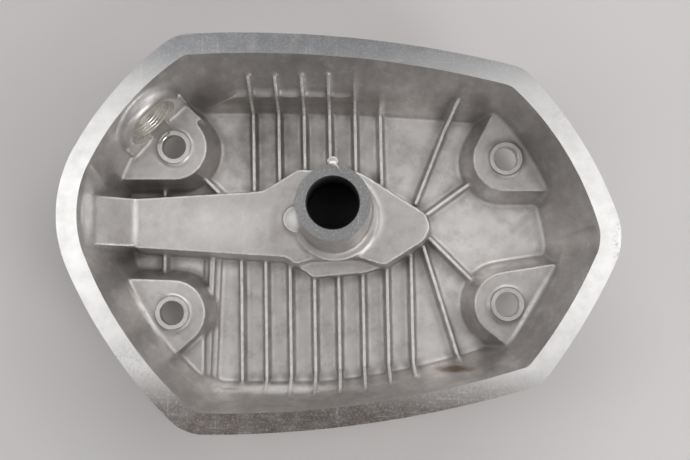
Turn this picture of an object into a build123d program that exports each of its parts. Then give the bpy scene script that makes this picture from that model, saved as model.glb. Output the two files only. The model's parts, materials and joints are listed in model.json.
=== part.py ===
from build123d import *
import os
from math import cos, radians, sin

# Cover of a flat-twin engine's cylinder head, with its oil filler plug and its plug-lead cover.
# Millimetres. The origin is the axis of the plug tube in the flange plane. +Z leaves the open
# side, so the dome is at negative Z, +X points to the nose and -X to the end the lead leaves.

# ---- driving dimensions -------------------------------------------------------------------
FLANGE_WIDTH = 8.6
FLANGE_THICKNESS = 7.0
WALL = 4.0
FLOOR_Z = -50.0
DOME_Z = FLOOR_Z - WALL

# Corners of the flange before rounding, clockwise from the corner beside the oil filler.
FLANGE_CORNERS = [(-72, 77.5), (87, 62), (132.5, -17), (93.5, -82), (-66, -104), (-130, -3.5)]
FLANGE_RADII = [20, 13, 30, 15, 22, 62]
# How far each side bows out of the straight line to the next corner.
FLANGE_BOWS = [6.2, 6.0, 2.5, 6.3, 8.0, 8.0]
# Corners of the floor before rounding, from the same corner round in the same direction.
FLOOR_CORNERS = [(-73.0, 49.6), (77.0, 44.6), (106.3, -18.7), (77.3, -67.0), (-54.7, -85.2), (-104.0, -7.8)]
FLOOR_RADII = [14, 12, 14, 14, 14, 30]
FLOOR_BOWS = [2.0, 6.0, 2.5, 6.3, 8.0, 8.0]

# Plug tube
TUBE_BORE_RADIUS = 12.0
TUBE_TOP_RADIUS = 17.2
TUBE_FOOT_RADII = (18.4, 20.4)
TUBE_FOOT_CENTRE = (0.5, -2.2)
TUBE_STEP_RADIUS = 20.8
TUBE_STEP_CENTRE = (0.8, -4.6)
TUBE_STEP_HEIGHT = 1.3
TUBE_LUG_RADIUS = 6.3
TUBE_LUG_CENTRE = (-17.8, -5.6)
TUBE_LUG_HEIGHT = 3.2
POST_RADIUS = 2.8
POST_OVERLAP = 1.4
POST_TOP_Z = -0.5

# Lead channel: a trough across the dome, seen from the open side as a raised plateau.
CHANNEL_Z = -27.0
CHANNEL_LEFT_X = -95.5
CHANNEL_DRAFT = 5.0
CHANNEL_PLAN = [(-95.5, 4.3), (-34, 8.0), (-17, 18.5), (12.5, 17.5), (44.5, -3.0), (46.5, -9.5),
                (43.5, -15.5), (24.5, -27.5), (12, -23.5), (-11, -24.5), (-18, -27.0), (-23, -23.5),
                (-95.5, -19.0)]
CHANNEL_RADII = [1.5, 12, 6, 10, 6, 5, 5, 5, 6, 6, 4, 5, 1.5]
RAMP_FOLD = (-110.5, -11.0)
RAMP_TOP = (-114.0, -4.0)
RAMP_HALF_WIDTH = 11.5
RAMP_CENTRE_Y = -7.0
RAMP_OVERRUN = 30.0
RAMP_OVERLAP = 10.0
SHELF_Z = -36.0
SHELF_PLAN = [(-18.5, -24), (-16.5, -28.5), (-10, -33), (14, -31), (23, -28.5), (24, -22)]
SHELF_RADIUS = 2.0

# Bolt bosses
PAD_Z = -33.0
PAD_THICKNESS = 5.0
PAD_RADIUS = 15.7
PAD_DRAFT = 18.0
BOLT_HOLE_RADIUS = 5.8
BOLT_RING_RADIUS = 7.9
BOLT_RING_HEIGHT = 1.5
LEFT_BOLTS_X = -77.8
LEFT_BOLTS_Y = -10.0
LEFT_BOLT_SPACING = 80.6
RIGHT_BOLTS_X = 83.9
RIGHT_BOLTS_Y = -10.8
RIGHT_BOLT_SPACING = 70.8
BOSS_REACH = 60.0
RING_OVERLAP = 1.0
# For each boss: hole centre, and the directions in degrees in which its two flanks run to the wall.
BOSSES = [
    ((LEFT_BOLTS_X, LEFT_BOLTS_Y + LEFT_BOLT_SPACING / 2), 128.0, 180.0),
    ((RIGHT_BOLTS_X, RIGHT_BOLTS_Y + RIGHT_BOLT_SPACING / 2), 0.0, 62.0),
    ((RIGHT_BOLTS_X, RIGHT_BOLTS_Y - RIGHT_BOLT_SPACING / 2), -38.0, 9.0),
    ((LEFT_BOLTS_X, LEFT_BOLTS_Y - LEFT_BOLT_SPACING / 2), 178.0, 222.0),
]

# Shelves along the two long walls: ends along X, and the section as (Y, Z) points from the wall
# over the shelf and down to the floor.
UPPER_SHELF_X = (-46.0, 45.0)
UPPER_SHELF_SECTION = [(58.5, -28.5), (54.8, -31.0), (50.3, FLOOR_Z)]
LOWER_SHELF_X = (-62.0, -4.0)
LOWER_SHELF_SECTION = [(-91.5, -37.0), (-86.3, -38.5), (-84.4, FLOOR_Z)]
SHELF_END_RUN = 24.0
# How far below the floor the shelves and ribs start, so that they join the shell.
BURIED_Z = DOME_Z + 1.0
# Three-cornered shelf between the lower left boss, the wall and the first lower rib.
CORNER_SHELF_Z = -38.0
CORNER_SHELF_PLAN = [(-88, -62), (-63, -58), (-63, -94), (-78, -90)]

# Ribs
RIB_CREST_Z = -44.0
RIB_CREST_WIDTH = 1.6
RIB_FOOT_WIDTH = 3.2
RIB_TOP_Z = -13.0
RIB_CLIMB_RUN = 13.5
RIB_ROOT_Z = FLOOR_Z + 2.0
UPPER_RIB_X = -40.3
UPPER_RIB_PITCH = 12.7
UPPER_RIB_COUNT = 6
UPPER_RIB_LEAN = 0.8
UPPER_RIB_START_Y = 8.0
UPPER_RIB_END_Y = 48.5
LOWER_RIB_X = -45.8
LOWER_RIB_PITCH = 12.0
LOWER_RIB_COUNT = 8
LOWER_RIB_LEAN = 1.0
LOWER_RIB_START_Y = -18.0
# The lower ribs end at the wall, which comes nearer towards the right.
LOWER_RIB_END_Y = -84.0
LOWER_RIB_END_SLOPE = 0.12
# Ribs that fan out from the channel, then short ribs that tie it to the bosses: start and end.
FAN_RIBS = [((40.7, 3.5), (54.5, 38.5)), ((43.7, -15), (61.0, -71))]
TIE_RIBS = [((45.8, -2), (70.7, 16)), ((47, -13), (70, -36)), ((-84, 4), (-84, 16)),
            ((-56, 8), (-68, 20)), ((-83.7, -18), (-83.7, -34))]
# Broad rib beside the lower left boss.
BROAD_RIB = ((-60.0, -20), (-62.0, -84))
BROAD_RIB_WIDTH = 2.6
BROAD_RIB_FOOT_WIDTH = 8.0

# Oil filler. The tilt is measured from straight down, the turn from +X towards +Y.
FILLER_CENTRE = (-85.5, 40.0, -20.5)
FILLER_AXIS_TILT = 82.0
FILLER_AXIS_TURN = 137.0
FILLER_BOSS_RADIUS = 18.5
# The block that carries the collar, and its step onto the bolt boss beside it.
SKIRT_DEPTH = 45.0
GUSSET_HALF_WIDTH = 17.4
GUSSET_REACH = 10.0
FILLER_LIP_RADIUS = 4.0
FILLER_BORE_RADIUS = 13.0
FILLER_LENGTH = 14.0
FILLER_CHAMFER = 0.8
FILLER_CLEARING = 20.0
FILLER_GLAND_RADIUS = 14.4
FILLER_GLAND_DEPTH = 1.5
RUNNING_CLEARANCE = 0.05
PLUG_ENGAGEMENT = 5.0
PLUG_HEAD_RADIUS = 15.0
PLUG_HEAD_TOP_RADIUS = 12.5
PLUG_HEAD_HEIGHT = 2.5
O_RING_SECTION = 1.4
PLUG_SEAT_GAP = 0.05
PLUG_GRIP_RADIUS = 10.0
PLUG_GRIP_BAR = 5.0
PLUG_GRIP_DEPTH = 4.5

# Plug-lead cover
LID_THICKNESS = 2.5
LID_GAP = 0.5
LID_FLAP_Z = -22.0
SNAP_LEG_SIZE = (7.0, 1.8, 12.0)
SNAP_LEG_X = (-78.0, -44.0)
SNAP_LEG_SPREAD = 6.0
# Side of a block larger than the whole cover.
LARGE = 400.0

UP = (Align.CENTER, Align.CENTER, Align.MIN)


# ---- outlines -------------------------------------------------------------------------------
def side_normal(start, end):
    """Outward unit normal of one side of a clockwise outline."""
    run = Vector(*end) - Vector(*start)
    return Vector(-run.Y, run.X).normalized()


def inset_corners(corners, distances):
    """Corners of the outline whose sides have each moved inward by their own distance."""
    count = len(corners)
    lines = []
    for index in range(count):
        start, end = corners[index], corners[(index + 1) % count]
        normal = side_normal(start, end)
        lines.append((normal.X, normal.Y, normal.dot(Vector(*start)) - distances[index]))
    moved = []
    for index in range(count):
        a1, b1, c1 = lines[index - 1]
        a2, b2, c2 = lines[index]
        det = a1 * b2 - a2 * b1
        moved.append(((c1 * b2 - c2 * b1) / det, (a1 * c2 - a2 * c1) / det))
    return moved


def bowed_outline(corners, radii, bows, z):
    """Closed outline with bowed sides and rounded corners, as a face at height z."""
    count = len(corners)
    sides = []
    for index in range(count):
        start, end = corners[index], corners[(index + 1) % count]
        middle = (Vector(*start) + Vector(*end)) / 2 + side_normal(start, end) * bows[index]
        sides.append(ThreePointArc(start, (middle.X, middle.Y), end))
    face = make_face(Curve() + sides)
    for corner, radius in zip(corners, radii):
        nearest = face.vertices().sort_by_distance((*corner, 0))[0]
        face = fillet(nearest, radius)
    return Pos(0, 0, z) * face


def rounded_plan(points, radii, z):
    """Straight-sided face with each corner rounded by its own radius, at height z."""
    face = make_face(Polyline(*points, close=True))
    for corner, radius in zip(points, radii):
        nearest = face.vertices().sort_by_distance((*corner, 0))[0]
        face = fillet(nearest, radius)
    return Pos(0, 0, z) * face


# ---- shell ----------------------------------------------------------------------------------
RIM_CORNERS = inset_corners(FLANGE_CORNERS, [FLANGE_WIDTH] * 6)
RIM_RADII = [max(radius - FLANGE_WIDTH, 8) for radius in FLANGE_RADII]


def cavity():
    """Space inside the cover, from the rim to the floor."""
    rim = bowed_outline(RIM_CORNERS, RIM_RADII, FLANGE_BOWS, 0)
    floor = bowed_outline(FLOOR_CORNERS, FLOOR_RADII, FLOOR_BOWS, FLOOR_Z)
    return loft([floor, rim], ruled=True)


def grown_cavity(thickness, z):
    """The cavity grown outward by a wall thickness, with its low end at height z."""
    rim_corners = inset_corners(RIM_CORNERS, [-thickness] * 6)
    rim_radii = [radius + thickness for radius in RIM_RADII]
    floor_corners = inset_corners(FLOOR_CORNERS, [-thickness] * 6)
    floor_radii = [radius + thickness for radius in FLOOR_RADII]
    low = bowed_outline(floor_corners, floor_radii, FLOOR_BOWS, z)
    return loft([low, bowed_outline(rim_corners, rim_radii, FLANGE_BOWS, 0)], ruled=True)


def dome():
    """Outside of the cover below the flange, filled in."""
    return grown_cavity(WALL, DOME_Z)


def flange_plate():
    """Flange, filled in: the widest part of the cover."""
    underside = bowed_outline(FLANGE_CORNERS, FLANGE_RADII, FLANGE_BOWS, -FLANGE_THICKNESS)
    return extrude(underside, FLANGE_THICKNESS)


def flange_shadow():
    """Everything straight below the flange outline."""
    return extrude(bowed_outline(FLANGE_CORNERS, FLANGE_RADII, FLANGE_BOWS, DOME_Z), -DOME_Z)


# ---- bolt bosses ----------------------------------------------------------------------------
def boss_plan(centre, first, last, radius, z):
    """D-shaped plan: a disc whose two flanks run out to the wall."""
    ends = []
    for angle, side in ((first, 1), (last, -1)):
        along = Vector(cos(radians(angle)), sin(radians(angle)))
        across = Vector(sin(radians(angle)), -cos(radians(angle))) * side
        foot = Vector(*centre) + across * radius
        ends.append((foot, foot + along * BOSS_REACH))
    corners = [Vector(*centre), ends[0][0], ends[0][1], ends[1][1], ends[1][0]]
    wedge = make_face(Polyline(*[(p.X, p.Y) for p in corners], close=True))
    return Pos(0, 0, z) * (wedge + Pos(*centre) * Circle(radius))


def bolt_tower(centre, first, last):
    """Boss with a flat pad on top and drafted sides, down to the outside of the dome."""
    foot_radius = PAD_RADIUS + (PAD_Z - FLOOR_Z) * sin(radians(PAD_DRAFT))
    top = boss_plan(centre, first, last, PAD_RADIUS, PAD_Z)
    foot = boss_plan(centre, first, last, foot_radius, FLOOR_Z)
    tower = loft([foot, top], ruled=True)
    base = extrude(boss_plan(centre, first, last, foot_radius, DOME_Z), WALL)
    ring_height = BOLT_RING_HEIGHT + RING_OVERLAP
    ring = Pos(*centre, PAD_Z - RING_OVERLAP) * Cylinder(BOLT_RING_RADIUS, ring_height, align=UP)
    return tower + base + ring


def bolt_pocket(centre, first, last):
    """Pocket on the outside of the dome that takes the bolt head, and the bolt's hole."""
    top_z = PAD_Z - PAD_THICKNESS
    foot_radius = PAD_RADIUS - WALL + (top_z - DOME_Z) * sin(radians(PAD_DRAFT))
    top = boss_plan(centre, first, last, PAD_RADIUS - WALL, top_z)
    foot = boss_plan(centre, first, last, foot_radius, DOME_Z)
    hole = Pos(*centre, DOME_Z) * Cylinder(BOLT_HOLE_RADIUS, -DOME_Z, align=UP)
    return loft([foot, top], ruled=True) + hole


# ---- lead channel and plug tube ---------------------------------------------------------------
def channel_plateau():
    """Raised back of the lead channel, with its widened end round the tube and its ramp."""
    plan = rounded_plan(CHANNEL_PLAN, CHANNEL_RADII, CHANNEL_Z)
    body = extrude(plan, DOME_Z - CHANNEL_Z, taper=-CHANNEL_DRAFT)
    shelf = extrude(rounded_plan(SHELF_PLAN, [SHELF_RADIUS] * len(SHELF_PLAN), SHELF_Z), DOME_Z - SHELF_Z)
    return body + shelf + ramp(0)


def ramp(shrink):
    """Sloping end of the channel, up to the lead's way out. shrink gives the hollow below it."""
    fold_x, fold_z = RAMP_FOLD
    top_x, top_z = RAMP_TOP
    profile = [
        (CHANNEL_LEFT_X + RAMP_OVERLAP, DOME_Z),
        (CHANNEL_LEFT_X + RAMP_OVERLAP, CHANNEL_Z - shrink),
        (CHANNEL_LEFT_X, CHANNEL_Z - shrink),
        (fold_x, fold_z - shrink),
        (top_x, top_z - shrink),
        (top_x - RAMP_OVERRUN, top_z - shrink),
        (top_x - RAMP_OVERRUN, DOME_Z),
    ]
    width = 2 * (RAMP_HALF_WIDTH - shrink)
    face = Plane.XZ * make_face(Polyline(*profile, close=True))
    return Pos(0, RAMP_CENTRE_Y + width / 2, 0) * extrude(face, width)


def tube_wall():
    """Plug tube's outside, which leans out to a stepped foot, and the post and lug beside it."""
    top = Circle(TUBE_TOP_RADIUS)
    foot_z = CHANNEL_Z - WALL
    foot = Pos(*TUBE_FOOT_CENTRE, foot_z) * Ellipse(*TUBE_FOOT_RADII)
    step = Pos(*TUBE_STEP_CENTRE, foot_z) * Cylinder(TUBE_STEP_RADIUS, WALL + TUBE_STEP_HEIGHT, align=UP)
    lug = Pos(*TUBE_LUG_CENTRE, foot_z) * Cylinder(TUBE_LUG_RADIUS, WALL + TUBE_LUG_HEIGHT, align=UP)
    post_y = TUBE_TOP_RADIUS + POST_OVERLAP
    post = Pos(0, post_y, FLOOR_Z) * Cylinder(POST_RADIUS, POST_TOP_Z - FLOOR_Z, align=UP)
    return loft([foot, top]) + step + lug + post


def tube_bore():
    return Pos(0, 0, DOME_Z) * Cylinder(TUBE_BORE_RADIUS, -DOME_Z, align=UP)


def channel_hollow(gap=0.0):
    """Open trough on the outside of the dome, for the plug lead. gap shrinks it all round."""
    inset = WALL + gap
    plan = offset(make_face(Polyline(*CHANNEL_PLAN, close=True)), -inset, kind=Kind.INTERSECTION)
    trough = extrude(Pos(0, 0, CHANNEL_Z - WALL) * plan, DOME_Z - CHANNEL_Z + WALL, taper=-CHANNEL_DRAFT)
    return trough + ramp(inset)


# ---- shelves ----------------------------------------------------------------------------------
def wall_shelf(ends, section):
    """Shelf along a long wall, which sinks into the floor at its left end."""
    left, right = ends
    wall_y, crest_z = section[0]
    behind_y = wall_y + (wall_y - section[1][0]) * 4
    points = section + [(section[-1][0], BURIED_Z), (behind_y, BURIED_Z), (behind_y, crest_z)]
    start = left - SHELF_END_RUN
    bar = extrude(Plane.YZ * make_face(Polyline(*points, close=True)), right - start)
    slope = [(start, FLOOR_Z), (left, crest_z), (right, crest_z), (right, BURIED_Z), (start, BURIED_Z)]
    wedge = extrude(Plane.XZ * make_face(Polyline(*slope, close=True)), LARGE, both=True)
    return Pos(start, 0, 0) * bar & wedge


def corner_shelf():
    """Three-cornered shelf beside the lower left boss."""
    plan = make_face(Polyline(*CORNER_SHELF_PLAN, close=True))
    return Pos(0, 0, CORNER_SHELF_Z) * extrude(plan, BURIED_Z - CORNER_SHELF_Z)


# ---- ribs -------------------------------------------------------------------------------------
def rib(ends, climbs=True, width=RIB_CREST_WIDTH, foot_width=RIB_FOOT_WIDTH):
    """Thin drafted rib over the floor between two ends, which can climb the wall beyond the second."""
    start, end = ends
    run = Vector(*end) - Vector(*start)
    length = run.length
    along = run.normalized()
    crest = [(0, RIB_CREST_Z), (length, RIB_CREST_Z)]
    if climbs:
        crest.append((length + RIB_CLIMB_RUN, RIB_TOP_Z))
    crest = [(0, BURIED_Z)] + crest + [(crest[-1][0], BURIED_Z)]
    root = [(0, BURIED_Z), (0, RIB_ROOT_Z), (length, RIB_ROOT_Z), (length, BURIED_Z)]
    plane = Plane(origin=(*start, 0), x_dir=(along.X, along.Y, 0), z_dir=(along.Y, -along.X, 0))
    blade = extrude(plane * make_face(Polyline(*crest, close=True)), width / 2, both=True)
    return blade + extrude(plane * make_face(Polyline(*root, close=True)), foot_width / 2, both=True)


def ribs():
    """All stiffening ribs of the floor."""
    made = []
    for index in range(UPPER_RIB_COUNT):
        x = UPPER_RIB_X + index * UPPER_RIB_PITCH
        made.append(rib(((x + UPPER_RIB_LEAN, UPPER_RIB_START_Y), (x, UPPER_RIB_END_Y))))
    for index in range(LOWER_RIB_COUNT):
        along = index * LOWER_RIB_PITCH
        x = LOWER_RIB_X + along
        end_y = LOWER_RIB_END_Y + LOWER_RIB_END_SLOPE * along
        made.append(rib(((x, LOWER_RIB_START_Y), (x + LOWER_RIB_LEAN, end_y))))
    made += [rib(ends) for ends in FAN_RIBS]
    made += [rib(ends, climbs=False) for ends in TIE_RIBS]
    made.append(rib(BROAD_RIB, width=BROAD_RIB_WIDTH, foot_width=BROAD_RIB_FOOT_WIDTH))
    return made


# ---- oil filler ---------------------------------------------------------------------------------
def filler_plane():
    """Plane of the filler's inner mouth. Its normal points outward along the filler."""
    tilt = radians(FILLER_AXIS_TILT)
    turn = radians(FILLER_AXIS_TURN)
    outward = (sin(tilt) * cos(turn), sin(tilt) * sin(turn), -cos(tilt))
    level = (sin(turn), -cos(turn), 0)
    return Plane(origin=FILLER_CENTRE, x_dir=level, z_dir=outward)


def on_filler(shape, depth):
    """Place a shape on the filler axis, depth outward from the mouth. Its +X is level, its +Y down."""
    return filler_plane() * Pos(0, 0, depth) * shape


def filler_boss():
    """Round collar of the filler, with its inner lip rounded over."""
    collar = Cylinder(FILLER_BOSS_RADIUS, FILLER_LENGTH, align=UP)
    collar = fillet(collar.edges().group_by(Axis.Z)[0], FILLER_LIP_RADIUS)
    return on_filler(collar, 0) & flange_shadow()


def filler_skirt():
    """Straight-sided block below the collar, inside the dome, and the step that joins the bolt boss."""
    down = (Align.CENTER, Align.MIN, Align.MIN)
    skirt = on_filler(Box(2 * FILLER_BOSS_RADIUS, SKIRT_DEPTH, SKIRT_DEPTH, align=down), 0)
    beside = (Align.MIN, Align.MIN, Align.MIN)
    gusset = on_filler(Box(GUSSET_HALF_WIDTH, SKIRT_DEPTH, 2 * GUSSET_REACH, align=beside), -GUSSET_REACH)
    below_pad = Pos(0, 0, PAD_Z - LARGE) * Box(LARGE, LARGE, LARGE, align=UP)
    return skirt + (gusset & below_pad)


def filler_bore():
    """Bore from the inner mouth outward, its chamfer, the gland, and clear space beyond the seat."""
    bore = on_filler(Cylinder(FILLER_BORE_RADIUS, FILLER_LENGTH, align=UP), 0)
    chamfer = Cone(FILLER_BORE_RADIUS + FILLER_CHAMFER, FILLER_BORE_RADIUS, FILLER_CHAMFER, align=UP)
    gland_start = FILLER_LENGTH - FILLER_GLAND_DEPTH
    gland = Cylinder(FILLER_GLAND_RADIUS, FILLER_GLAND_DEPTH + FILLER_CLEARING, align=UP)
    return bore + on_filler(chamfer, 0) + on_filler(gland, gland_start)


# ---- pieces -------------------------------------------------------------------------------------
def cover_casting():
    room = cavity()
    envelope = dome() + flange_plate()
    inside = [channel_plateau(), tube_wall()]
    inside += [bolt_tower(*boss) for boss in BOSSES]
    inside.append(filler_skirt())
    inside += ribs()
    inside.append(wall_shelf(UPPER_SHELF_X, UPPER_SHELF_SECTION))
    inside.append(wall_shelf(LOWER_SHELF_X, LOWER_SHELF_SECTION))
    inside.append(corner_shelf())
    body = envelope - room
    for shape in inside:
        body += shape & envelope
    body += filler_boss()
    body -= channel_hollow()
    for boss in BOSSES:
        body -= bolt_pocket(*boss)
    body -= tube_bore()
    body -= filler_bore()
    return body


def filler_plug():
    """Plug with a shank in the filler thread, a low head, and a bar across its outside to turn it by."""
    shank_start = FILLER_LENGTH - PLUG_ENGAGEMENT
    head_start = FILLER_LENGTH + PLUG_SEAT_GAP
    shank_length = head_start - shank_start
    shank = on_filler(Cylinder(FILLER_BORE_RADIUS - RUNNING_CLEARANCE, shank_length, align=UP), shank_start)
    head = on_filler(Cone(PLUG_HEAD_RADIUS, PLUG_HEAD_TOP_RADIUS, PLUG_HEAD_HEIGHT, align=UP), head_start)
    bar = Box(2 * PLUG_GRIP_RADIUS, PLUG_GRIP_BAR, PLUG_GRIP_DEPTH, align=UP)
    grip = Cylinder(PLUG_GRIP_RADIUS, PLUG_GRIP_DEPTH, align=UP) - bar
    return shank + head - on_filler(grip, head_start + PLUG_HEAD_HEIGHT - PLUG_GRIP_DEPTH)


def filler_o_ring():
    """Rubber ring in the gland under the plug's head."""
    shank_radius = FILLER_BORE_RADIUS - RUNNING_CLEARANCE
    centre_radius = (shank_radius + FILLER_GLAND_RADIUS) / 2
    depth = FILLER_LENGTH - FILLER_GLAND_DEPTH / 2
    return on_filler(Torus(centre_radius, O_RING_SECTION / 2), depth)


def lead_cover():
    """Lid over the lead channel, flush with the dome, with a flap up the end wall and four snap legs."""
    skin = dome() - grown_cavity(WALL - LID_THICKNESS, DOME_Z + LID_THICKNESS)
    below_flap = Pos(0, 0, LID_FLAP_Z - LARGE) * Box(LARGE, LARGE, LARGE, align=UP)
    lid = skin & channel_hollow(LID_GAP) & below_flap
    for x in SNAP_LEG_X:
        for side in (-1, 1):
            y = RAMP_CENTRE_Y + side * SNAP_LEG_SPREAD
            lid += Pos(x, y, DOME_Z + LID_THICKNESS / 2) * Box(*SNAP_LEG_SIZE, align=UP)
    return lid


PIECES = {
    "cover_casting": cover_casting,
    "filler_plug": filler_plug,
    "filler_o_ring": filler_o_ring,
    "lead_cover": lead_cover,
}


os.makedirs("parts", exist_ok=True)
for node, build in PIECES.items():
    export_step(build(), f"parts/{node}.step")
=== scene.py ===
"""Looks of a cylinder head cover: softened casting, machined faces, real threads, lid and lights."""

import json
import math

import bmesh
import bpy
import numpy as np
from mathutils import Matrix, Vector


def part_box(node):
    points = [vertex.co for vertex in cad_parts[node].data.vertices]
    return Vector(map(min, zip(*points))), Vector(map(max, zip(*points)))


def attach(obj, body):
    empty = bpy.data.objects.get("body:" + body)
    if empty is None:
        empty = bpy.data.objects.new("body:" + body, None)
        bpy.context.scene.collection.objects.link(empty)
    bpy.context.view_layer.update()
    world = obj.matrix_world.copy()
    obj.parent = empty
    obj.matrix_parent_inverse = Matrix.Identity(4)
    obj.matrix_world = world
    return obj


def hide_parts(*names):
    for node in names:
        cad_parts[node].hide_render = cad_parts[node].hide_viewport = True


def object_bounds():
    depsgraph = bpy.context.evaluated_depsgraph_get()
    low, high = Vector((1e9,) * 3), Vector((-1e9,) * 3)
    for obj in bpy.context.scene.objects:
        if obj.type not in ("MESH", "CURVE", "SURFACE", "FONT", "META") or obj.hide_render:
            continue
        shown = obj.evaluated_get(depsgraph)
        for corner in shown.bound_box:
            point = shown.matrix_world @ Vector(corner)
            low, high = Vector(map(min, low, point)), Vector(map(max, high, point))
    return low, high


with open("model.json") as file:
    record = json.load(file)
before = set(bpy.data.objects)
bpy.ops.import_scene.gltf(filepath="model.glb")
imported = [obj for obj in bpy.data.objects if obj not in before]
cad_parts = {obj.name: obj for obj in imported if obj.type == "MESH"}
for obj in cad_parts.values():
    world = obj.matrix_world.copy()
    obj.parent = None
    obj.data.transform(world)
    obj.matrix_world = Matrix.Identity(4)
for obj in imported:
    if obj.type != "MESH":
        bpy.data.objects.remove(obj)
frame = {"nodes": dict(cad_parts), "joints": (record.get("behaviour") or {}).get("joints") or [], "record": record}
CAD_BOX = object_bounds()

MM = 0.001
# Two heights this close together count as one height.
SAME_HEIGHT = 0.02 * MM

# ---- measures taken from the frame ------------------------------------------------------------
MOUNTS = {mount["name"]: mount for mount in frame["record"]["mounts"]}
JOINTS = {joint["name"]: joint for joint in frame["joints"]}
TUBE_RADIUS = MOUNTS["plug_tube_bore"]["dims"]["r_mm"] * MM
TUBE_LENGTH = MOUNTS["plug_tube_bore"]["dims"]["length_mm"] * MM
DOME_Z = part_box("cover_casting")[0].z
FILLER_SEAT = Vector(JOINTS["filler_turn"]["pos_m"])
FILLER_AXIS = Vector(JOINTS["filler_turn"]["axis"]).normalized()


def bolt_holes():
    """Centre and radius of each bolt hole, from the two bolt patterns."""
    holes = []
    for name in ("left_bolt_holes", "right_bolt_holes"):
        mount = MOUNTS[name]
        half = mount["dims"]["spacing_y_mm"] * MM / 2
        for side in (-1, 1):
            centre = Vector(mount["pos_m"]) + Vector((0, side * half, 0))
            holes.append((centre, mount["dims"]["hole_r_mm"] * MM))
    return holes


BOLT_HOLES = bolt_holes()

# ---- casting and machining --------------------------------------------------------------------
VOXEL = 0.60 * MM
STOCK = 1.6 * MM
FILLET_STEPS = 24
SOFTEN_STEPS = 5
GRID_TURN = math.radians(26)
SPECK_VERTICES = 200
RING_TOP_Z = -31.5 * MM
PAD_UNDERSIDE_Z = -38.0 * MM
RING_RADIUS = 7.9 * MM
SPOT_FACE_RADIUS = 8.4 * MM
EDGE_BREAK = 0.4 * MM
HOLE_EDGE_BREAK = 0.25 * MM
TUBE_END_Z = -TUBE_LENGTH

# ---- filler, along its axis: 0 is the outer seat, negative is inward ---------------------------
THREAD_PITCH = 1.5 * MM
THREAD_CREST = 12.6 * MM
THREAD_ROOT = 13.45 * MM
THREAD_FIT = 0.08 * MM
FILLER_LENGTH = 14.0 * MM
PLAIN_MOUTH = 2.8 * MM
GLAND_RADIUS = 14.4 * MM
GLAND_DEPTH = 1.5 * MM
PLUG_ENGAGEMENT = 5.0 * MM
PLUG_NECK_RADIUS = 12.95 * MM
PLUG_HEAD_HEIGHT = 2.5 * MM
PLUG_HEAD_RADIUS = 15.0 * MM
PLUG_CROWN_RADIUS = 12.5 * MM
GRIP_DEPTH = 4.5 * MM
GRIP_RADIUS = 10.0 * MM
GRIP_BAR = 5.0 * MM
O_RING_SECTION = 0.7 * MM

# ---- lid --------------------------------------------------------------------------------------
LID_VOXEL = 0.4 * MM
LID_SOFTEN_STEPS = 3


def mm(x, y, z):
    """Vector given in millimetres."""
    return Vector((x, y, z)) * MM


# ---- mesh helpers -----------------------------------------------------------------------------
def new_object(name, vertices, faces):
    mesh = bpy.data.meshes.new(name)
    mesh.from_pydata([tuple(v) for v in vertices], [], faces)
    mesh.update()
    piece = bpy.data.objects.new(name, mesh)
    bpy.context.scene.collection.objects.link(piece)
    return piece


def remove(piece):
    mesh = piece.data
    bpy.data.objects.remove(piece)
    bpy.data.meshes.remove(mesh)


def revolve(name, profile, segments=96, radius_at=None):
    """Closed solid from (radius, height) points. radius_at(radius, height, angle) can shape each ring."""
    vertices = []
    for radius, height in profile:
        for step in range(segments):
            angle = 2 * math.pi * step / segments
            r = radius_at(radius, height, angle) if radius_at else radius
            vertices.append((r * math.cos(angle), r * math.sin(angle), height))
    faces = []
    for ring in range(len(profile) - 1):
        for step in range(segments):
            a = ring * segments + step
            b = ring * segments + (step + 1) % segments
            faces.append((a, b, b + segments, a + segments))
    low = len(vertices)
    vertices.append((0, 0, profile[0][1]))
    vertices.append((0, 0, profile[-1][1]))
    last = (len(profile) - 1) * segments
    for step in range(segments):
        following = (step + 1) % segments
        faces.append((low, following, step))
        faces.append((low + 1, last + step, last + following))
    return new_object(name, vertices, faces)


def stand_on(piece, origin, axis):
    """Move a piece made along +Z so that it starts at origin and runs along axis."""
    turn = Vector((0, 0, 1)).rotation_difference(Vector(axis)).to_matrix().to_4x4()
    piece.data.transform(Matrix.Translation(origin) @ turn)
    return piece


def apply_modifier(piece, kind, **settings):
    """Replace the piece's mesh with the result of one modifier."""
    modifier = piece.modifiers.new(kind.lower(), kind)
    for key, value in settings.items():
        setattr(modifier, key, value)
    bpy.context.view_layer.update()
    evaluated = piece.evaluated_get(bpy.context.evaluated_depsgraph_get())
    mesh = bpy.data.meshes.new_from_object(evaluated)
    old = piece.data
    piece.modifiers.clear()
    piece.data = mesh
    bpy.data.meshes.remove(old)


def join_into(piece, others):
    """Add the geometry of others to piece, and delete them."""
    builder = bmesh.new()
    builder.from_mesh(piece.data)
    for other in others:
        builder.from_mesh(other.data)
    builder.to_mesh(piece.data)
    builder.free()
    for other in others:
        remove(other)


def cut(piece, cutter):
    """Take the cutter's volume out of piece, and delete the cutter."""
    apply_modifier(piece, "BOOLEAN", operation="DIFFERENCE", object=cutter, solver="MANIFOLD")
    remove(cutter)


def remesh(piece, voxel):
    apply_modifier(piece, "REMESH", mode="VOXEL", voxel_size=voxel, adaptivity=0.0)


def soften(piece, steps):
    apply_modifier(piece, "SMOOTH", factor=0.5, iterations=steps)


def shade(piece, sharp_degrees=35):
    """Smooth shading, with sharp edges where faces meet at more than this angle."""
    mesh = piece.data
    mesh.polygons.foreach_set("use_smooth", [True] * len(mesh.polygons))
    mesh.set_sharp_from_angle(angle=math.radians(sharp_degrees))
    mesh.update()


def face_arrays(mesh):
    """Centres and normals of all faces, as arrays."""
    count = len(mesh.polygons)
    centres = np.zeros(count * 3)
    normals = np.zeros(count * 3)
    mesh.polygons.foreach_get("center", centres)
    mesh.polygons.foreach_get("normal", normals)
    return centres.reshape(-1, 3), normals.reshape(-1, 3)


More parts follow.
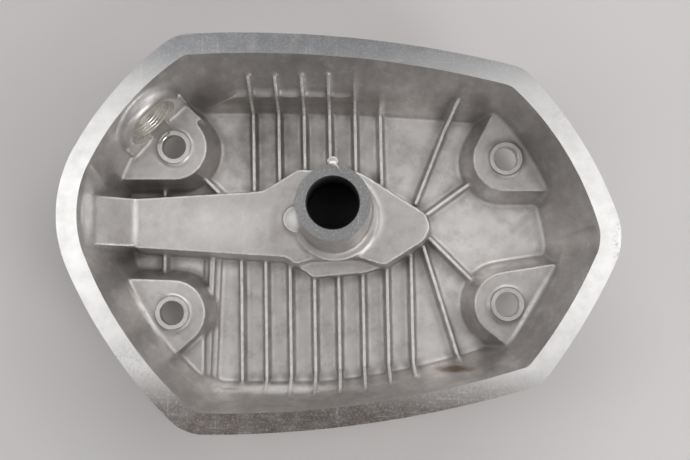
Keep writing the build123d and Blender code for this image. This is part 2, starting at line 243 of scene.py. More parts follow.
# ---- threads ----------------------------------------------------------------------------------
ROWS_PER_PITCH = 12
THREAD_SEGMENTS = 144


def thread_rows(start, end):
    """Profile points close enough together to carry a thread."""
    rows = int(round((end - start) / THREAD_PITCH * ROWS_PER_PITCH))
    return [(THREAD_ROOT, start + (end - start) * row / rows) for row in range(rows + 1)]


def thread_radius(height, angle):
    """Radius of a right-hand thread with narrow flats on its crests and roots."""
    flat_share = 0.12
    flank_share = 0.76
    turns = height / THREAD_PITCH - angle / (2 * math.pi)
    wave = abs((turns % 1.0) * 2 - 1)
    flank = min(max((wave - flat_share) / flank_share, 0), 1)
    return THREAD_CREST + (THREAD_ROOT - THREAD_CREST) * flank


# ---- the casting ------------------------------------------------------------------------------
def upright(centre, profile, segments=96):
    """Turned solid on a vertical axis through centre."""
    piece = revolve("tool", profile, segments)
    piece.data.transform(Matrix.Translation((centre.x, centre.y, 0)))
    return piece


def casting_blank():
    """Copy of the CAD casting with machining stock on its faces and its bores filled."""
    overlap = 0.9 * MM
    inset = 0.2 * MM
    past_ring = 0.2 * MM
    mesh = frame["nodes"]["cover_casting"].data.copy()
    points = np.zeros(len(mesh.vertices) * 3)
    mesh.vertices.foreach_get("co", points)
    points = points.reshape(-1, 3)
    points[points[:, 2] > -SAME_HEIGHT, 2] += STOCK
    ring_top = np.abs(points[:, 2] - RING_TOP_Z) < SAME_HEIGHT
    for centre, _ in BOLT_HOLES:
        from_hole = np.hypot(points[:, 0] - centre.x, points[:, 1] - centre.y)
        on_ring = from_hole < RING_RADIUS + past_ring
        points[ring_top & on_ring, 2] += STOCK / 2
    mesh.vertices.foreach_set("co", points.ravel())
    blank = bpy.data.objects.new("cover_body", mesh)
    bpy.context.scene.collection.objects.link(blank)
    tube_fill = TUBE_RADIUS + overlap
    fillers = [upright(Vector((0, 0, 0)), [(tube_fill, TUBE_END_Z + inset), (tube_fill, STOCK)])]
    for centre, radius in BOLT_HOLES:
        fill = radius + overlap
        fillers.append(upright(centre, [(fill, PAD_UNDERSIDE_Z + inset), (fill, RING_TOP_Z + STOCK / 2)]))
    thread_fill = THREAD_ROOT + overlap
    gland_fill = GLAND_RADIUS + overlap
    profile = [
        (thread_fill, -FILLER_LENGTH + overlap),
        (thread_fill, -GLAND_DEPTH),
        (gland_fill, -GLAND_DEPTH),
        (gland_fill, -inset),
    ]
    fillers.append(stand_on(revolve("fill", profile), FILLER_SEAT, FILLER_AXIS))
    join_into(blank, fillers)
    return blank


def fill_hollows(piece, steps, normal_every=8):
    """Soft fillets in all inner corners: points that lie in a hollow move out towards their neighbours."""
    mesh = piece.data
    count = len(mesh.vertices)
    ends = np.zeros(len(mesh.edges) * 2, dtype=np.int32)
    mesh.edges.foreach_get("vertices", ends)
    first, second = ends[0::2], ends[1::2]
    degree = np.bincount(ends, minlength=count)[:, None]
    place = np.zeros(count * 3)
    mesh.vertices.foreach_get("co", place)
    place = place.reshape(-1, 3)
    normals = np.zeros(count * 3)
    for step in range(steps):
        if step % normal_every == 0:
            mesh.vertices.foreach_set("co", place.ravel())
            mesh.update()
            mesh.vertices.foreach_get("normal", normals)
        total = np.zeros_like(place)
        for axis in range(3):
            total[:, axis] += np.bincount(first, place[second, axis], count)
            total[:, axis] += np.bincount(second, place[first, axis], count)
        move = total / degree - place
        hollow = (move * normals.reshape(-1, 3)).sum(axis=1) > 0
        place += move * hollow[:, None] / 2
    mesh.vertices.foreach_set("co", place.ravel())
    mesh.update()


def drop_specks(piece):
    """Delete shells of only a few vertices, which the voxel remesh can leave behind."""
    builder = bmesh.new()
    builder.from_mesh(piece.data)
    seen = set()
    specks = []
    for start in builder.verts:
        if start in seen:
            continue
        seen.add(start)
        shell = [start]
        for vertex in shell:
            for edge in vertex.link_edges:
                other = edge.other_vert(vertex)
                if other not in seen:
                    seen.add(other)
                    shell.append(other)
        if len(shell) < SPECK_VERTICES:
            specks += shell
    bmesh.ops.delete(builder, geom=specks, context="VERTS")
    builder.to_mesh(piece.data)
    builder.free()


def cast_and_machined():
    """The casting as it leaves the shop: filleted, softened, then milled, drilled, reamed and tapped."""
    body = casting_blank()
    # The voxel grid is turned away from the ribs, so that their long edges come out straight.
    grid = Matrix.Rotation(GRID_TURN, 4, "Z")
    body.data.transform(grid)
    remesh(body, VOXEL)
    body.data.transform(grid.inverted())
    fill_hollows(body, FILLET_STEPS)
    soften(body, SOFTEN_STEPS)
    cut(body, mill())
    tools = reamer()
    join_into(tools, [filler_tap()] + [drill(centre, radius) for centre, radius in BOLT_HOLES])
    cut(body, tools)
    drop_specks(body)
    return body


def mill():
    """Block above the gasket plane: cuts the flange and the tube's end flat."""
    low, high = CAD_BOX
    margin = 20 * MM
    x0, y0 = low.x - margin, low.y - margin
    x1, y1 = high.x + margin, high.y + margin
    corners = [(x0, y0), (x1, y0), (x1, y1), (x0, y1)]
    vertices = [(x, y, 0) for x, y in corners] + [(x, y, margin) for x, y in corners]
    faces = [(3, 2, 1, 0), (4, 5, 6, 7), (0, 1, 5, 4), (1, 2, 6, 5), (2, 3, 7, 6), (3, 0, 4, 7)]
    return new_object("mill", vertices, faces)


def reamer():
    """Bore of the plug tube, with the broken edge of its mouth."""
    past_end = 2 * MM
    past_mouth = 1 * MM
    profile = [
        (TUBE_RADIUS, TUBE_END_Z - past_end),
        (TUBE_RADIUS, -EDGE_BREAK),
        (TUBE_RADIUS + EDGE_BREAK, 0),
        (TUBE_RADIUS + EDGE_BREAK + past_mouth, past_mouth),
    ]
    return upright(Vector((0, 0, 0)), profile, segments=128)


def drill(centre, radius):
    """Stepped drill: the bolt hole, its broken edge and the spot face over the ring."""
    past_pad = 12 * MM
    clear_above = 6 * MM
    profile = [
        (radius, RING_TOP_Z - past_pad),
        (radius, RING_TOP_Z - HOLE_EDGE_BREAK),
        (radius + HOLE_EDGE_BREAK, RING_TOP_Z),
        (SPOT_FACE_RADIUS, RING_TOP_Z),
        (SPOT_FACE_RADIUS, RING_TOP_Z + clear_above),
    ]
    return upright(centre, profile)


def filler_tap():
    """Filler bore from the inside out: plain mouth, thread, the seal's gland, clear space."""
    past_mouth = 4 * MM
    past_seat = 8 * MM
    thread_start = -FILLER_LENGTH + PLAIN_MOUTH
    profile = [(THREAD_ROOT, -FILLER_LENGTH - past_mouth)]
    profile += thread_rows(thread_start, -GLAND_DEPTH)
    profile += [(GLAND_RADIUS, -GLAND_DEPTH), (GLAND_RADIUS, past_seat)]

    def radius_at(radius, height, angle):
        in_thread = thread_start < height < -GLAND_DEPTH
        return thread_radius(height, angle) if in_thread else radius

    tap = revolve("tap", profile, THREAD_SEGMENTS, radius_at)
    return stand_on(tap, FILLER_SEAT, FILLER_AXIS)


def mark_machined_faces(body):
    """Material 0 is cast skin, 1 the milled flange and tube end, 2 drilled and tapped, 3 the tube's bore."""
    facing_up = 0.9
    hole_depth = 8 * MM
    past_tube_end = 0.5 * MM
    past_mouth = 0.2 * MM
    past_seat = 1 * MM
    past_root = 0.05 * MM
    centres, normals = face_arrays(body.data)
    height = centres[:, 2]
    index = np.zeros(len(centres), dtype=np.int32)
    index[(height > -SAME_HEIGHT) & (normals[:, 2] > facing_up)] = 1
    from_tube = np.hypot(centres[:, 0], centres[:, 1])
    inside_tube = (from_tube < TUBE_RADIUS + EDGE_BREAK) & (height > TUBE_END_Z - past_tube_end)
    index[inside_tube & (index == 0)] = 3
    for centre, radius in BOLT_HOLES:
        from_hole = np.hypot(centres[:, 0] - centre.x, centres[:, 1] - centre.y)
        deep = (height < RING_TOP_Z) & (height > RING_TOP_Z - hole_depth)
        index[(from_hole < radius + HOLE_EDGE_BREAK) & deep] = 2
    offset = centres - np.array(FILLER_SEAT)
    along = offset @ np.array(FILLER_AXIS)
    across = np.linalg.norm(offset - along[:, None] * np.array(FILLER_AXIS), axis=1)
    in_filler = (along > -FILLER_LENGTH - past_mouth) & (along < past_seat)
    index[in_filler & (across < THREAD_ROOT + past_root)] = 2
    body.data.polygons.foreach_set("material_index", index)


# ---- material helpers -------------------------------------------------------------------------
class Nodes:
    """Short names for building one node material."""

    def __init__(self, name):
        self.material = bpy.data.materials.new(name)
        self.material.use_nodes = True
        self.tree = self.material.node_tree
        self.shader = self.tree.nodes["Principled BSDF"]
        self.place = self.add("ShaderNodeTexCoord").outputs["Object"]

    def add(self, kind, **settings):
        node = self.tree.nodes.new(kind)
        for key, value in settings.items():
            setattr(node, key, value)
        return node

    def link(self, source, target):
        self.tree.links.new(source, target)

    def feed(self, target, value):
        if isinstance(value, bpy.types.NodeSocket):
            self.link(value, target)
        else:
            target.default_value = value

    def set(self, name, value):
        self.feed(self.shader.inputs[name], value)

    def stretch(self, scale, turn=0.0):
        """Object coordinates scaled and turned about Z, to draw a texture out in one direction."""
        node = self.add("ShaderNodeMapping")
        node.inputs["Scale"].default_value = scale
        node.inputs["Rotation"].default_value = (0, 0, turn)
        self.link(self.place, node.inputs["Vector"])
        return node.outputs["Vector"]

    def noise(self, size, detail=4.0, roughness=0.55, vector=None):
        node = self.add("ShaderNodeTexNoise")
        node.inputs["Scale"].default_value = 1.0 / size
        node.inputs["Detail"].default_value = detail
        node.inputs["Roughness"].default_value = roughness
        self.link(vector or self.place, node.inputs["Vector"])
        return node.outputs["Fac"]

    def cells(self, size):
        node = self.add("ShaderNodeTexVoronoi")
        node.inputs["Scale"].default_value = 1.0 / size
        self.link(self.place, node.inputs["Vector"])
        return node.outputs["Distance"]

    def ramp(self, value, low, high, low_out=0.0, high_out=1.0):
        """Straight ramp from low_out at low to high_out at high, level beyond both."""
        node = self.add("ShaderNodeMapRange")
        node.inputs["From Min"].default_value = low
        node.inputs["From Max"].default_value = high
        node.inputs["To Min"].default_value = low_out
        node.inputs["To Max"].default_value = high_out
        self.link(value, node.inputs["Value"])
        return node.outputs["Result"]

    def math(self, operation, a, b=0.0):
        node = self.add("ShaderNodeMath", operation=operation)
        self.feed(node.inputs[0], a)
        self.feed(node.inputs[1], b)
        return node.outputs["Value"]

    def mix(self, factor, a, b, blend="MIX"):
        node = self.add("ShaderNodeMix", data_type="RGBA", blend_type=blend)
        self.feed(node.inputs["Factor"], factor)
        self.feed(node.inputs["A"], a if isinstance(a, bpy.types.NodeSocket) else (*a, 1.0))
        self.feed(node.inputs["B"], b if isinstance(b, bpy.types.NodeSocket) else (*b, 1.0))
        return node.outputs["Result"]

    def bump(self, height, distance, strength=1.0, normal=None):
        node = self.add("ShaderNodeBump")
        node.inputs["Distance"].default_value = distance
        node.inputs["Strength"].default_value = strength
        self.link(height, node.inputs["Height"])
        if normal:
            self.link(normal, node.inputs["Normal"])
        return node.outputs["Normal"]

    def near(self, centre, radii, turn=0.0):
        """1 at a point of the object, falling to 0 on the ellipsoid with these radii round it."""
        node = self.add("ShaderNodeMapping", vector_type="TEXTURE")
        node.inputs["Rotation"].default_value = (0, 0, turn)
        node.inputs["Location"].default_value = centre
        node.inputs["Scale"].default_value = radii
        self.link(self.place, node.inputs["Vector"])
        length = self.add("ShaderNodeVectorMath", operation="LENGTH")
        self.link(node.outputs["Vector"], length.inputs[0])
        return self.ramp(length.outputs["Value"], 0.0, 1.0, 1.0, 0.0)

    def mark(self, centre, radii, amount, edge, texture, turn=0.0):
        """Strength of one mark: it fades over its outer part, and the texture breaks it up."""
        spot = self.math("MULTIPLY", self.ramp(self.near(centre, radii, turn), 0.0, edge), texture)
        return self.math("MULTIPLY", spot, amount)

    def crevice(self, distance):
        """1 in the open, towards 0 where other surfaces stand closer than distance."""
        node = self.add("ShaderNodeAmbientOcclusion", samples=8)
        node.inputs["Distance"].default_value = distance
        return node.outputs["AO"]

    def outer_edge_mask(self):
        """0 on flat ground, where pointiness is 0.5, rising to 1 on an outer edge."""
        node = self.add("ShaderNodeNewGeometry")
        return self.ramp(node.outputs["Pointiness"], 0.505, 0.545)

    def height_of(self, axis):
        node = self.add("ShaderNodeSeparateXYZ")
        self.link(self.place, node.inputs["Vector"])
        return node.outputs[axis]

    def facing_up(self):
        """Z of the surface normal: 1 on level ground, 0 on a wall, negative underneath."""
        node = self.add("ShaderNodeSeparateXYZ")
        self.link(self.add("ShaderNodeNewGeometry").outputs["True Normal"], node.inputs["Vector"])
        return node.outputs["Z"]


def ring_centre(hole_centre):
    """Middle of the ring round a bolt hole, at the height of its top."""
    return Vector((hole_centre.x, hole_centre.y, RING_TOP_Z))


# Places where the casting is painted darker, stained brown or painted bright, with a painted shadow and painted
# highlights among them: centre, radii and strength.
# Three of the four bolt pads are painted darker than the rest.
DARKER_PATCHES = [
    (mm(-34, 34, -50), mm(34, 30, 16), 0.62),
    (mm(2, 38, -50), mm(24, 24, 14), 0.30),
    (mm(-20, 54, -36), mm(74, 8, 14), 0.60),
    (mm(-100, -22, -40), mm(14, 10, 14), 0.55),
    (mm(10, -92, -16), mm(120, 10, 22), 0.45),
    (mm(104, 22, -26), mm(20, 26, 30), 0.20),
] + [(ring_centre(centre), mm(26, 26, 8), 0.20) for centre, _ in BOLT_HOLES[1:]]
STAINS_AND_SLIT_SHADOW = [
    (mm(14, 20, -27), mm(9, 5, 5), 0.6),
    (mm(-9, -27, -27), mm(14, 4, 6), 0.4),
    (mm(12, -25, -30), mm(12, 3, 6), 0.4),
    (mm(-27, -9, -27), mm(5, 12, 4), 0.3),
    # The last one is a painted shadow: a dark slit at the foot of a rib, in the stain's brown.
    (mm(60, -77, -32), mm(17, 1.9, 16), 1.6),
]
# Places painted brighter: centre, radii and strength.
BRIGHT_PATCHES_AND_HIGHLIGHTS = [
    (mm(-52, -8, -27), mm(34, 12, 6), 0.30),
    (mm(-18.5, -5.6, -23), mm(5, 6, 5), 1.0),
    (mm(84, -11, -50), mm(32, 20, 8), 0.20),
    # The last three are painted highlights: on the ramp's top facet, on its fold and on a ridge by the near wall.
    (mm(-112.5, -3, -7), mm(2.2, 17, 12), 0.7),
    (mm(-94.5, -6, -26), mm(1.6, 15, 6), 0.8),
    (mm(-25, -86.5, -36), mm(34, 3.5, 10), 0.9),
]
# Painted highlights: bright lines where two bolt pads meet the wall: centre, radii, turn about Z and strength.
PAINTED_PAD_HIGHLIGHTS = [
    (mm(94.6, -47.7, -31), mm(24, 1.5, 6), math.radians(60), 0.9),
    (mm(-90, -51.6, -32), mm(20, 1.5, 6), math.radians(-57), 0.9),
]


def cast_aluminium():
    """Satin die-cast skin: soft clouds, painted light on the floor, painted shade on the walls and in the corners,
    edges rubbed bright and painted highlights on edges.
    """
    skin, lighter_skin = (0.63, 0.60, 0.585), (0.69, 0.665, 0.65)
    floor_painted_light = (0.98, 0.95, 0.93)
    wall_shade_smear_colour = (0.36, 0.35, 0.345)
    soft_cloud = (0.56, 0.53, 0.51)
    bright_grain = (0.80, 0.78, 0.765)
    dark_mottle, light_mottle = (0.40, 0.37, 0.355), (0.86, 0.845, 0.83)
    darker_patch = (0.25, 0.225, 0.205)
    painted_corner_shade = (0.15, 0.138, 0.13)
    stain_and_shadow_brown = (0.20, 0.13, 0.085)
    rub_and_highlight_colour = (0.98, 0.97, 0.95)
    n = Nodes("cast_aluminium")
    patches = n.noise(30 * MM, 3.0)
    cloud = n.noise(7 * MM, 5.0, 0.6)
    grain = n.noise(0.8 * MM, 4.0, 0.6)
    smears = n.noise(5 * MM, 5.0, 0.65, n.stretch((1.0, 1.0, 0.22)))
    mottle = n.noise(13 * MM, 7.0, 0.72)
    uneven = n.ramp(cloud, 0.3, 0.65, 0.55, 1.0)

    colour = n.mix(n.ramp(patches, 0.35, 0.65), skin, lighter_skin)
    # Painted light: the floor of the cover is painted far lighter than the rest of the skin.
    floor_level = n.ramp(n.height_of("Z"), -49.5 * MM, -45 * MM, 0.85, 0.0)
    colour = n.mix(floor_level, colour, floor_painted_light)
    # Painted shade: sloping walls are painted darker, broken up by smears.
    up = n.facing_up()
    wall = n.math("MULTIPLY", n.ramp(up, 0.05, 0.15), n.ramp(up, 0.45, 0.80, 1.0, 0.0))
    wall_shade_and_smears = n.math("MULTIPLY", wall, n.ramp(smears, 0.35, 0.6, 0.2, 0.6))
    colour = n.mix(wall_shade_and_smears, colour, wall_shade_smear_colour)
    colour = n.mix(n.ramp(cloud, 0.3, 0.75, 0.0, 0.45), colour, soft_cloud)
    colour = n.mix(n.ramp(grain, 0.35, 0.7, 0.0, 0.25), colour, bright_grain)
    colour = n.mix(n.ramp(mottle, 0.50, 0.66, 0.0, 0.42), colour, dark_mottle)
    colour = n.mix(n.ramp(mottle, 0.34, 0.46, 0.45, 0.0), colour, light_mottle)
    for centre, radii, amount in DARKER_PATCHES:
        colour = n.mix(n.mark(centre, radii, amount, 0.6, uneven), colour, darker_patch)
    # Painted shade: darker where other surfaces stand close, in corners and creases.
    shade_in = n.ramp(n.crevice(6 * MM), 0.40, 0.96, 0.85, 0.0)
    colour = n.mix(shade_in, colour, painted_corner_shade)
    for centre, radii, amount in STAINS_AND_SLIT_SHADOW:
        colour = n.mix(n.mark(centre, radii, amount, 0.7, uneven), colour, stain_and_shadow_brown)

    # Outer edges and rib tops painted bright, as rubbed edges and painted highlights; less of it near the gasket
    # face and on the rings, then the listed places.
    bright_breakup = n.ramp(n.noise(3 * MM, 4.0, 0.6), 0.32, 0.6, 0.45, 1.0)
    low_down = n.ramp(n.height_of("Z"), -17 * MM, -13 * MM, 1.0, 0.3)
    wear_and_highlight = n.math("MULTIPLY", n.math("MULTIPLY", n.outer_edge_mask(), bright_breakup), low_down)
    for centre, _ in BOLT_HOLES:
        off_ring = n.ramp(n.near(ring_centre(centre), mm(10, 10, 10)), 0.10, 0.14, 1.0, 0.25)
        wear_and_highlight = n.math("MULTIPLY", wear_and_highlight, off_ring)
    for centre, radii, amount in BRIGHT_PATCHES_AND_HIGHLIGHTS:
        wear_and_highlight = n.math("MAXIMUM", wear_and_highlight, n.mark(centre, radii, amount, 0.6, uneven))
    for centre, radii, turn, amount in PAINTED_PAD_HIGHLIGHTS:
        wear_and_highlight = n.math("MAXIMUM", wear_and_highlight, n.mark(centre, radii, amount, 0.6, bright_breakup, turn))
    n.set("Base Color", n.mix(wear_and_highlight, colour, rub_and_highlight_colour))

    # Corners under painted shade and the bright edges both scatter light more than the skin does.
    dull = n.math("MAXIMUM", n.math("MULTIPLY", shade_in, 0.9), n.math("MULTIPLY", wear_and_highlight, 0.85))
    n.set("Metallic", n.math("SUBTRACT", 0.92, dull))
    rough = n.ramp(cloud, 0.3, 0.7, 0.36, 0.50)
    n.set("Roughness", n.math("ADD", rough, n.math("MULTIPLY", shade_in, 0.5)))
    fine = n.bump(grain, 0.03 * MM, 0.5)
    n.set("Normal", n.bump(cloud, 0.22 * MM, 0.35, fine))
    return n.material


# Worn and stained stretches of the gasket face: centre, radii and strength.
GASKET_MARKS = [
    (mm(130, -20, 0), mm(4, 15, 8), 0.7),
    (mm(106, 46, 0), mm(9, 14, 8), 0.3),
    (mm(62, -87, 0), mm(34, 7, 8), 0.5),
    (mm(-30, -101, 0), mm(60, 6, 8), 0.3),
    (mm(-20, 76, 0), mm(70, 5, 8), 0.35),
    (mm(-92, -76, 0), mm(14, 16, 8), 0.3),
]


def milled_aluminium():
    """Gasket face: milled, handled and scratched, with painted reflections: bluer at the far side and browner at
    the near side.
    """
    fresh_metal, near_side_reflection, far_side_reflection = (0.93, 0.915, 0.90), (0.31, 0.262, 0.24), (0.50, 0.51, 0.53)
    dull_patch = (0.62, 0.605, 0.60)
    streak = (0.80, 0.79, 0.785)
    tube_end = (0.34, 0.342, 0.35)
    bare_metal = (0.95, 0.94, 0.93)
    stain = (0.40, 0.365, 0.345)
    n = Nodes("milled_aluminium")
    stretched = n.noise(2.5 * MM, 6.0, 0.7, n.stretch((0.35, 1, 1)))
    speckle = n.noise(1.1 * MM, 2.0, 0.6)
    patches = n.noise(7 * MM, 5.0, 0.65)
    crumbs = n.noise(1.5 * MM, 5.0, 0.7)

    low, high = CAD_BOX
    across = n.ramp(n.height_of("Y"), low.y, high.y)
    near_side = n.ramp(across, 0.06, 0.16, 1.0, 0.0)
    far_side = n.ramp(across, 0.86, 0.96)
    colour = n.mix(near_side, fresh_metal, near_side_reflection)
    colour = n.mix(far_side, colour, far_side_reflection)
    colour = n.mix(n.ramp(patches, 0.42, 0.72, 0.0, 0.35), colour, dull_patch)
    streaks = n.math("MULTIPLY", n.ramp(stretched, 0.50, 0.68), n.math("MAXIMUM", near_side, far_side))
    colour = n.mix(n.math("MULTIPLY", streaks, 0.3), colour, streak)
    on_tube = n.ramp(n.near(mm(0, 0, 0), mm(24, 24, 24)), 0.0, 0.1)
    colour = n.mix(n.math("MULTIPLY", on_tube, 0.85), colour, tube_end)
    colour = n.mix(n.ramp(speckle, 0.50, 0.72, 0.0, 0.4), colour, bare_metal)
    scratch_a = n.ramp(n.noise(1.2 * MM, 2.0, 0.5, n.stretch((1, 0.03, 1), 0.75)), 0.64, 0.70)
    scratch_b = n.ramp(n.noise(1.0 * MM, 2.0, 0.5, n.stretch((0.03, 1, 1), 0.35)), 0.65, 0.71)
    handled = n.ramp(patches, 0.40, 0.60)
    scratches = n.math("MULTIPLY", n.math("MAXIMUM", scratch_a, scratch_b), handled)
    colour = n.mix(n.math("MULTIPLY", scratches, 0.45), colour, bare_metal)
    crumb = n.ramp(crumbs, 0.50, 0.62)
    for centre, radii, amount in GASKET_MARKS:
        colour = n.mix(n.mark(centre, radii, amount, 0.5, crumb), colour, stain)
    n.set("Base Color", colour)
    n.set("Metallic", 0.95)
    n.set("Roughness", n.ramp(patches, 0.3, 0.7, 0.30, 0.36))
    n.set("Normal", n.bump(crumbs, 0.01 * MM, 0.3))
    return n.material


def painted_dark_bore():
    """Inside of the plug tube: painted shade, a near-black, dull metal with a faint mottle."""
    n = Nodes("painted_dark_bore")
    bore_mottle = n.noise(3 * MM, 4.0, 0.6)
    n.set("Base Color", n.mix(n.ramp(bore_mottle, 0.3, 0.7), (0.030, 0.028, 0.027), (0.060, 0.056, 0.053)))
    n.set("Metallic", 0.3)
    n.set("Roughness", n.ramp(bore_mottle, 0.3, 0.7, 0.55, 0.70))
    n.set("Normal", n.bump(bore_mottle, 0.05 * MM, 0.3))
    return n.material


def bored_aluminium_painted_light():
    """Bolt holes, thread and plug: bright turned metal with fine tool lines, painted lighter than bare metal as
    painted light for the closed bore.
    """
    n = Nodes("bored_aluminium_painted_light")
    lines = n.noise(0.35 * MM, 2.0, 0.5, n.stretch((0.2, 0.2, 1.0)))
    spots = n.noise(1.4 * MM, 4.0, 0.6)
    colour = n.mix(n.ramp(spots, 0.35, 0.7), (0.86, 0.84, 0.80), (0.96, 0.94, 0.90))
    n.set("Base Color", colour)
    n.set("Metallic", 1.0)
    n.set("Roughness", n.ramp(lines, 0.3, 0.7, 0.24, 0.36))
    n.set("Normal", n.bump(lines, 0.02 * MM, 0.4))
    return n.material


def black_rubber():
    """O-ring: soft black rubber with a little dust."""
    n = Nodes("seal_rubber")
    dust = n.noise(0.5 * MM, 4.0, 0.6)
    n.set("Base Color", n.mix(n.ramp(dust, 0.5, 0.8, 0.0, 0.5), (0.018, 0.018, 0.018), (0.06, 0.058, 0.055)))
    n.set("Roughness", n.ramp(dust, 0.3, 0.7, 0.45, 0.62))
    n.set("Normal", n.bump(dust, 0.02 * MM, 0.4))
    return n.material


def black_plastic():
    """Moulded lid: fine spark-eroded grain with lightly polished edges."""
    n = Nodes("lid_plastic")
    grain = n.cells(0.55 * MM)
    cloud = n.noise(9 * MM, 3.0)
    colour = n.mix(n.ramp(cloud, 0.35, 0.65), (0.020, 0.020, 0.021), (0.032, 0.032, 0.033))
    colour = n.mix(n.math("MULTIPLY", n.outer_edge_mask(), 0.5), colour, (0.09, 0.09, 0.09))
    n.set("Base Color", colour)
    n.set("Roughness", n.ramp(cloud, 0.3, 0.7, 0.46, 0.56))
    n.set("Normal", n.bump(grain, 0.04 * MM, 0.45))
    return n.material


def pale_floor():
    n = Nodes("pale_floor")
    n.set("Base Color", n.mix(n.noise(0.2), (0.66, 0.638, 0.632), (0.69, 0.667, 0.661)))
    n.set("Roughness", 0.75)
    return n.material


# ---- pieces -----------------------------------------------------------------------------------
def stand_for(piece, node, body):
    """Attach a piece to its body and hide the CAD node that it stands for."""
    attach(piece, body)
    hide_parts(node)


def build_cover():
    """The casting, with its materials in the order that mark_machined_faces uses."""
    body = cast_and_machined()
    body.data.materials.clear()
    for material in (cast_aluminium(), milled_aluminium(), bored_aluminium_painted_light(), painted_dark_bore()):
        body.data.materials.append(material)
    mark_machined_faces(body)
    shade(body)
    stand_for(body, "cover_casting", "casting")


def build_plug():
    """Threaded plug in line with the tapped bore, with a low domed head and a bar to turn it by."""
    lead_in = 1.0 * MM
    thread_end = -GLAND_DEPTH - 0.3 * MM
    relief = 0.05 * MM
    head_edge = 0.3 * MM
    rim_height = 0.6 * MM
    top = relief + PLUG_HEAD_HEIGHT
    profile = thread_rows(-PLUG_ENGAGEMENT, thread_end)
    profile += [
        (PLUG_NECK_RADIUS, thread_end),
        (PLUG_NECK_RADIUS, relief),
        (PLUG_HEAD_RADIUS - head_edge, relief),
        (PLUG_HEAD_RADIUS, relief + head_edge),
        (PLUG_HEAD_RADIUS, relief + rim_height),
        (PLUG_CROWN_RADIUS + 0.5 * MM, top - 0.25 * MM),
        (PLUG_CROWN_RADIUS, top),
    ]

    def radius_at(radius, height, angle):
        if height >= thread_end:
            return radius
        depth = min((height + PLUG_ENGAGEMENT) / lead_in, 1)
        return THREAD_CREST + (thread_radius(height, angle) - THREAD_CREST) * depth - THREAD_FIT

    plug = revolve("plug_body", profile, THREAD_SEGMENTS, radius_at)
    cut(plug, grip_cutter(top))
    stand_on(plug, FILLER_SEAT, FILLER_AXIS)
    plug.data.materials.clear()
    plug.data.materials.append(bored_aluminium_painted_light())
    shade(plug, sharp_degrees=30)
    stand_for(plug, "filler_plug", "filler_screw")


def grip_cutter(top):
    """Two D-shaped pockets, one each side of the grip bar."""
    start = math.asin(GRIP_BAR / 2 / GRIP_RADIUS)
    steps = 32
    floor_shrink = 0.94
    vertices, faces = [], []
    for side in (0, 1):
        base = len(vertices)
        arc = [start + (math.pi - 2 * start) * step / steps + math.pi * side for step in range(steps + 1)]
        for height, shrink in ((top - GRIP_DEPTH, floor_shrink), (top + 1 * MM, 1.0)):
            middle = Vector((0, (1 - 2 * side) * GRIP_RADIUS / 2))
            for angle in arc:
                point = Vector((GRIP_RADIUS * math.cos(angle), GRIP_RADIUS * math.sin(angle)))
                point = middle + (point - middle) * shrink
                vertices.append((point.x, point.y, height))
        count = steps + 1
        faces.append([base + k for k in reversed(range(count))])
        faces.append([base + count + k for k in range(count)])
        for k in range(count):
            after = (k + 1) % count
            faces.append((base + k, base + after, base + count + after, base + count + k))
    return new_object("grip", vertices, faces)


def build_seal():
    """O-ring, as a fine torus with a slight parting line."""
    node_low, node_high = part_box("filler_o_ring")
    ring_radius = (PLUG_NECK_RADIUS + GLAND_RADIUS) / 2
    parting_line = 0.04 * MM
    around, across = 160, 28
    vertices, faces = [], []
    for i in range(around):
        angle = 2 * math.pi * i / around
        for k in range(across):
            turn = 2 * math.pi * k / across
            flash = parting_line if k in (0, across // 2) else 0.0
            r = ring_radius + (O_RING_SECTION + flash) * math.cos(turn)
            vertices.append((r * math.cos(angle), r * math.sin(angle), O_RING_SECTION * math.sin(turn)))
    for i in range(around):
        for k in range(across):
            a = i * across + k
            b = i * across + (k + 1) % across
            c = ((i + 1) % around) * across + (k + 1) % across
            d = ((i + 1) % around) * across + k
            faces.append((a, d, c, b))
    ring = new_object("o_ring_body", vertices, faces)
    stand_on(ring, (node_low + node_high) / 2, FILLER_AXIS)
    ring.data.materials.append(black_rubber())
    shade(ring, sharp_degrees=60)
    stand_for(ring, "filler_o_ring", "filler_seal")


def build_lid():
    """Moulded lid: the CAD lid with softened edges."""
    lid = bpy.data.objects.new("lead_cover_body", frame["nodes"]["lead_cover"].data.copy())
    bpy.context.scene.collection.objects.link(lid)
    remesh(lid, LID_VOXEL)
    soften(lid, LID_SOFTEN_STEPS)
    lid.data.materials.clear()
    lid.data.materials.append(black_plastic())
    shade(lid, sharp_degrees=40)
    stand_for(lid, "lead_cover", "lead_lid")


# ---- stage ------------------------------------------------------------------------------------
def build_floor():
    """Pale floor that the cover lies on, dome down."""
    side = 1.5
    corners = [(-side, -side), (side, -side), (side, side), (-side, side)]
    floor = new_object("floor", [(x, y, DOME_Z) for x, y in corners], [(0, 1, 2, 3)])
    floor.data.materials.append(pale_floor())


def area_light(name, place, target, size, power):
    """White panel aimed at target."""
    data = bpy.data.lights.new(name, "AREA")
    data.shape = "RECTANGLE"
    data.size, data.size_y = size
    data.energy = power
    light = bpy.data.objects.new(name, data)
    light.location = place
    light.rotation_euler = (Vector(target) - Vector(place)).to_track_quat("-Z", "Y").to_euler()
    bpy.context.scene.collection.objects.link(light)


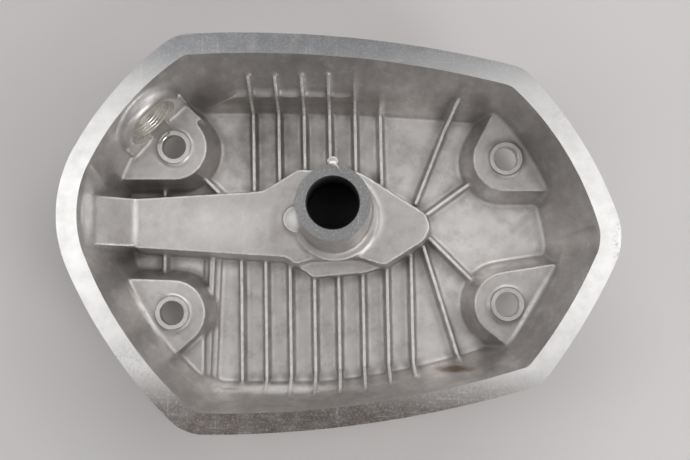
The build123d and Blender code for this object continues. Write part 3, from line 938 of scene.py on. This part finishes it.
def build_lights():
    """Panels overhead and on all sides, and a small one aimed at the filler."""
    overhead = (0.45, 0.9)
    wide = (1.2, 0.5)
    upright_panel = (0.5, 0.9)
    square = (0.5, 0.5)
    small = (0.3, 0.3)
    centre = (0, 0, 0)
    area_light("left_panel", (-0.58, 0.10, 1.10), centre, overhead, 2.1)
    area_light("right_panel", (0.56, 0.06, 1.10), centre, overhead, 1.85)
    area_light("low_left_panel", (-1.1, -0.1, 0.42), centre, upright_panel, 2.4)
    area_light("far_panel", (0.0, 1.0, 0.9), centre, wide, 6.4)
    area_light("near_panel", (0.0, -1.0, 0.9), centre, wide, 2.5)
    area_light("low_right_panel", (1.1, 0.1, 0.55), centre, upright_panel, 1.4)
    area_light("far_right_panel", (0.8, 0.9, 0.9), centre, square, 3.2)
    area_light("near_right_panel", (0.8, -0.8, 0.9), centre, square, 2.4)
    area_light("filler_panel", (0.75, -0.70, 0.30), FILLER_SEAT, small, 3.4)
    world = bpy.data.worlds.new("studio")
    world.use_nodes = True
    nodes, links = world.node_tree.nodes, world.node_tree.links
    background = nodes["Background"]
    background.inputs["Color"].default_value = (1.0, 0.99, 0.98, 1)
    # The room looks pale where the camera sees it, but lights the metal only faintly.
    seen = nodes.new("ShaderNodeLightPath")
    strength = nodes.new("ShaderNodeMapRange")
    strength.inputs["To Min"].default_value = 0.02
    strength.inputs["To Max"].default_value = 0.50
    links.new(seen.outputs["Is Camera Ray"], strength.inputs["Value"])
    links.new(strength.outputs["Result"], background.inputs["Strength"])
    bpy.context.scene.world = world


def build_camera():
    """Nearly overhead, tilted a few degrees, at the distance of a hand-held close view."""
    tilt = math.radians(4.0)
    distance = 0.453
    aside = -5.57 * MM
    above = 12.46 * MM
    forward = Vector((0, math.sin(tilt), -math.cos(tilt)))
    upward = Vector((0, math.cos(tilt), math.sin(tilt)))
    data = bpy.data.cameras.new("camera")
    data.sensor_width = 36
    data.lens = 52.17
    data.clip_start = 0.01
    camera = bpy.data.objects.new("camera", data)
    camera.location = -distance * forward - aside * Vector((1, 0, 0)) - above * upward
    camera.rotation_euler = (tilt, 0, 0)
    bpy.context.scene.collection.objects.link(camera)
    bpy.context.scene.camera = camera


build_cover()
build_plug()
build_seal()
build_lid()
build_floor()
build_lights()
build_camera()
bpy.context.scene.view_settings.view_transform = "Standard"
